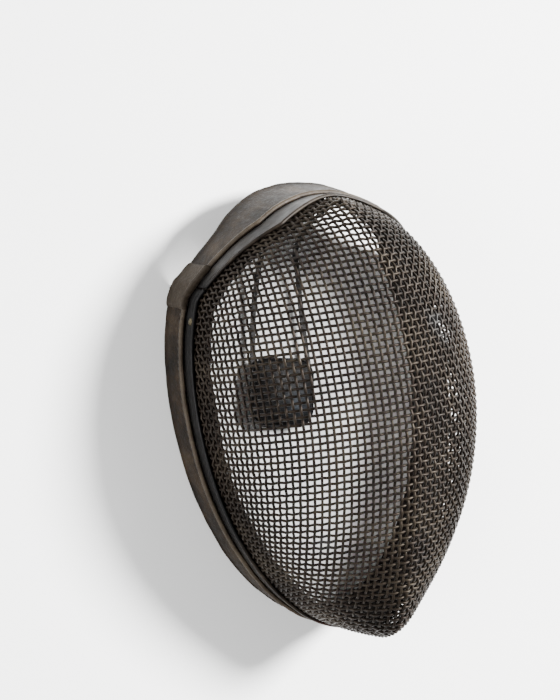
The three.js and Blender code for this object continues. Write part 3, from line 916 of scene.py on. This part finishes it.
def pad_outline(count):
    """Points round a rectangle with round corners, about the middle."""
    x, y = PAD_SIZE[0] / 2 - PAD_CORNER, PAD_SIZE[1] / 2 - PAD_CORNER
    angle = np.linspace(0, TURN, count, endpoint=False)
    c, s = np.cos(angle), np.sin(angle)
    reach = 1 / np.maximum(np.abs(c) / PAD_SIZE[0], np.abs(s) / PAD_SIZE[1]) / 2
    for _ in range(20):
        px, py = np.maximum(np.abs(c * reach) - x, 0), np.maximum(np.abs(s * reach) - y, 0)
        over = np.hypot(px, py) - PAD_CORNER
        reach = reach - np.where((px > 0) & (py > 0), over, 0)
    return np.stack([c * reach, s * reach], 1)


def blown_up(name, points, faces, held):
    """Fills a flat cover as cloth, twenty times its size, with its seam held by the welt."""
    mesh = bpy.data.meshes.new(name)
    mesh.from_pydata((np.asarray(points) * MM * CLOTH_SCALE).tolist(), [], faces)
    cover = linked(name, mesh)
    cover.vertex_groups.new(name="welt").add(held, 1.0, "REPLACE")
    cloth = cover.modifiers.new("cloth", "CLOTH")
    settings = cloth.settings
    settings.vertex_group_mass = "welt"
    settings.quality = 8
    settings.mass = 0.4
    settings.tension_stiffness = settings.compression_stiffness = 12
    settings.shear_stiffness = 8
    settings.bending_stiffness = 0.6
    settings.use_pressure = True
    settings.uniform_pressure_force = CLOTH_PRESSURE
    settings.effector_weights.gravity = 0
    cloth.collision_settings.use_collision = False
    cloth.point_cache.frame_start, cloth.point_cache.frame_end = 1, CLOTH_FRAMES
    for frame_number in range(1, CLOTH_FRAMES + 1):
        bpy.context.scene.frame_set(frame_number)
    shaped = cover.evaluated_get(bpy.context.evaluated_depsgraph_get()).to_mesh()
    found = np.array([v.co for v in shaped.vertices]) / (MM * CLOTH_SCALE)
    bpy.data.objects.remove(cover)
    bpy.context.scene.frame_set(1)
    return found


def placed_on_spring(points):
    """Pad coordinates turned to the pad's tilt and moved to its centre."""
    c, s = math.cos(PAD_TILT), math.sin(PAD_TILT)
    x, y, z = points.T
    centre = np.array(PAD_CENTRE) + [0, SHIFT, 0]
    return np.stack([c * x - s * y, s * x + c * y, z], 1) + centre


def head_pad():
    around, rings = 64, 14
    outline = pad_outline(around)
    points, faces = [], []
    for face_side in (1, -1):
        for ring in range(1, rings if face_side > 0 else rings - 1):
            share = ring / (rings - 1)
            dome = PAD_RISE * face_side * (1 - share**2)
            dome = dome + 0.15 * smooth_noise(outline[:, 0] / 9, share * 3, 31, 2.0)
            points += np.column_stack([outline * share, dome * (share < 1)]).tolist()
        points.append([0, 0, PAD_RISE * face_side])
    front, back = 0, (rings - 1) * around + 1
    front_middle, back_middle = back - 1, back + (rings - 2) * around
    rim = front + (rings - 2) * around
    rows = [[front + r * around + k for k in range(around)] for r in range(rings - 1)]
    behind = [[back + r * around + k for k in range(around)] for r in range(rings - 2)] + [
        [rim + k for k in range(around)]
    ]
    for layer, middle, turn in ((rows, front_middle, 1), (behind, back_middle, -1)):
        for k in range(around):
            n = (k + 1) % around
            faces.append([middle, layer[0][k], layer[0][n]][::turn])
            for inner, outer in zip(layer, layer[1:]):
                faces.append([inner[k], outer[k], outer[n], inner[n]][::turn])
    points = np.array(points)
    points = blown_up("pad_cover", points, faces, list(range(rim, rim + around)))
    span = points.max(0) - points.min(0)
    points = (points - (points.max(0) + points.min(0)) / 2) * (np.array(PAD_SIZE) / span)
    # A pale bluish spot on the pad's face: partly wear, partly a painted sheen.
    worn_and_lit = np.exp(-(((points[:, 0] - 10) / 9) ** 2 + ((points[:, 1] + 6) / 9) ** 2))
    patchy = 0.6 + 0.4 * smooth_noise(points[:, 0] / 12, points[:, 1] / 12, 17, 4.0)
    worn_and_lit = worn_and_lit * (points[:, 2] > 0) * patchy
    piece = mesh_object("padded_leather_pad", placed_on_spring(points), faces, ["pad"])
    painted(piece, "wear_and_sheen", worn_and_lit)
    settle(piece, "pad_leather", "spring_pad")
    edge = placed_on_spring(points[rim:rim + around])
    welt = line_object("pad_welt_line", edge, [(k, (k + 1) % around) for k in range(around)], {})
    settle(grown("pad_welt", welt, tube_tree(), {
        "Tube radius": WELT_RADIUS * MM,
        "Tube material": MATERIALS["pad"],
    }), "pad_leather")


def tube_tree():
    """A line becomes a smooth round cord, such as the welt in a seam."""
    tree, given = opened_tree("welt_cord", "Line", ("Tube radius",), "Tube material", "Tube")
    line = node(tree, "GeometryNodeMeshToCurve", links={"Mesh": given["Line"]})
    ring = node(tree, "GeometryNodeCurvePrimitiveCircle", {"Resolution": 8},
                {"Radius": given["Tube radius"]})
    tube = node(tree, "GeometryNodeCurveToMesh", {"Fill Caps": True},
                {"Curve": line.outputs[0], "Profile Curve": ring.outputs[0]})
    return closed_tree(tree, tube.outputs[0], given["Tube material"])


def stitch_tree():
    """Stitches laid end to end along a line: short thick threads with a gap after each."""
    lengths = ("Stitch spacing", "Stitch length", "Thread radius")
    tree, given = opened_tree("stitches", "Line", lengths, "Thread material", "Stitches")
    line = node(tree, "GeometryNodeMeshToCurve", links={"Mesh": given["Line"]})
    places = node(tree, "GeometryNodeCurveToPoints",
                  links={"Curve": line.outputs[0], "Length": given["Stitch spacing"]}, mode="LENGTH")
    turned = node(tree, "FunctionNodeAlignRotationToVector",
                  links={"Vector": places.outputs["Tangent"]}, axis="X")
    ball = node(tree, "GeometryNodeMeshUVSphere", {"Segments": 8, "Rings": 6, "Radius": 1.0})
    half = node(tree, "ShaderNodeMath", {1: 0.5}, {0: given["Stitch length"]}, operation="MULTIPLY")
    thread = given["Thread radius"]
    size = node(tree, "ShaderNodeCombineXYZ", links={"X": half.outputs[0], "Y": thread, "Z": thread})
    laid = node(tree, "GeometryNodeInstanceOnPoints", links={
        "Points": places.outputs["Points"], "Instance": ball.outputs["Mesh"],
        "Rotation": turned.outputs[0], "Scale": size.outputs[0]})
    return closed_tree(tree, laid.outputs[0], given["Thread material"])


def stitched(name, start, end, count, crown):
    """A row of stitches through a band, behind the roll along its front edge."""
    rows = []
    for angle in np.linspace(start, end, count):
        station = float(outline_at(np.array(angle))[1])
        front = float(band_front(station))
        flare = CROWN_FLARE * float(sweep(station)) ** 2 * (STITCH_BEHIND / front) ** 2 if crown else 0.0
        rows.append(lifted(angle, front - STITCH_BEHIND, GAP + 0.86 * LEATHER + flare, not crown))
    line = line_object(name + "_line", rows, [(k, k + 1) for k in range(count - 1)], {})
    settle(grown(name, line, STITCHES, {
        "Stitch spacing": STITCH_SPACING * MM,
        "Stitch length": STITCH_LENGTH * MM,
        "Thread radius": THREAD_RADIUS * MM,
        "Thread material": MATERIALS["thread"],
    }), "band_leather")


STITCHES = stitch_tree()
stitched("side_stitches", CORNER_FOOT + 2 * JOINT, TURN - CORNER_FOOT - 2 * JOINT, 400, False)
stitched("crown_stitches", -CORNER_TOP + 2 * JOINT, CORNER_TOP - 2 * JOINT, 220, True)
for side in ("left", "right"):
    spring_strip(side)
head_pad()

for name in ("rivet_left", "rivet_right"):
    rivet = frame["nodes"][name].data
    rivet.materials.clear()
    rivet.materials.append(MATERIALS["rivet"])


# ---- floor, light and camera ----
def floor():
    half = 4.0
    mesh = bpy.data.meshes.new("floor")
    corners = [(-half, -half, 0), (half, -half, 0), (half, half, 0), (-half, half, 0)]
    mesh.from_pydata(corners, [], [(0, 1, 2, 3)])
    made = linked("floor", mesh)
    material, _, shader = new_material("pale_floor")
    shader.inputs["Base Color"].default_value = srgb("#f2f2f1")
    shader.inputs["Roughness"].default_value = 0.9
    mesh.materials.append(material)


def area_light(name, place, target, size, power):
    data = bpy.data.lights.new(name, "AREA")
    data.shape = "DISK"
    data.size = size
    data.energy = power
    made = linked(name, data)
    made.location = place
    made.rotation_euler = (Vector(target) - Vector(place)).to_track_quat("-Z", "Y").to_euler()


def camera():
    """Seen from the wearer's front right, a little from above the face, rolled eight degrees."""
    yaw, rise, roll = math.radians(32), math.radians(5), math.radians(8)
    target = Vector((0, (140 + SHIFT) * MM, 60 * MM))
    away = Vector((-math.sin(yaw) * math.cos(rise), math.sin(rise), math.cos(yaw) * math.cos(rise)))
    right = Vector((math.cos(yaw), 0, math.sin(yaw)))
    up = away.cross(right)
    turned_right = math.cos(roll) * right - math.sin(roll) * up
    turned_up = math.cos(roll) * up + math.sin(roll) * right
    data = bpy.data.cameras.new("camera")
    made = linked("camera", data)
    place = target + away * CAMERA_DISTANCE
    matrix = made.matrix_world.copy()
    for k, axis in enumerate((turned_right, turned_up, away)):
        for row in range(3):
            matrix[row][k] = axis[row]
    matrix.translation = place
    made.matrix_world = matrix
    data.sensor_fit = "HORIZONTAL"
    data.sensor_width = 36
    data.lens = CAMERA_LENS
    data.shift_x, data.shift_y = CAMERA_SHIFT
    data.dof.use_dof = False
    bpy.context.scene.camera = made


def world():
    made = bpy.data.worlds.new("studio")
    bpy.context.scene.world = made
    made.use_nodes = True
    sky = made.node_tree.nodes["Background"]
    sky.inputs["Color"].default_value = srgb("#f4f6f8")
    sky.inputs["Strength"].default_value = 0.45


floor()
world()
area_light("key", (1.6, 0.45, 1.8), (0, 0, 0.03), 0.7, 445)
area_light("fill", (-1.5, -0.1, 0.9), (0, 0, 0.05), 1.0, 44)
camera()
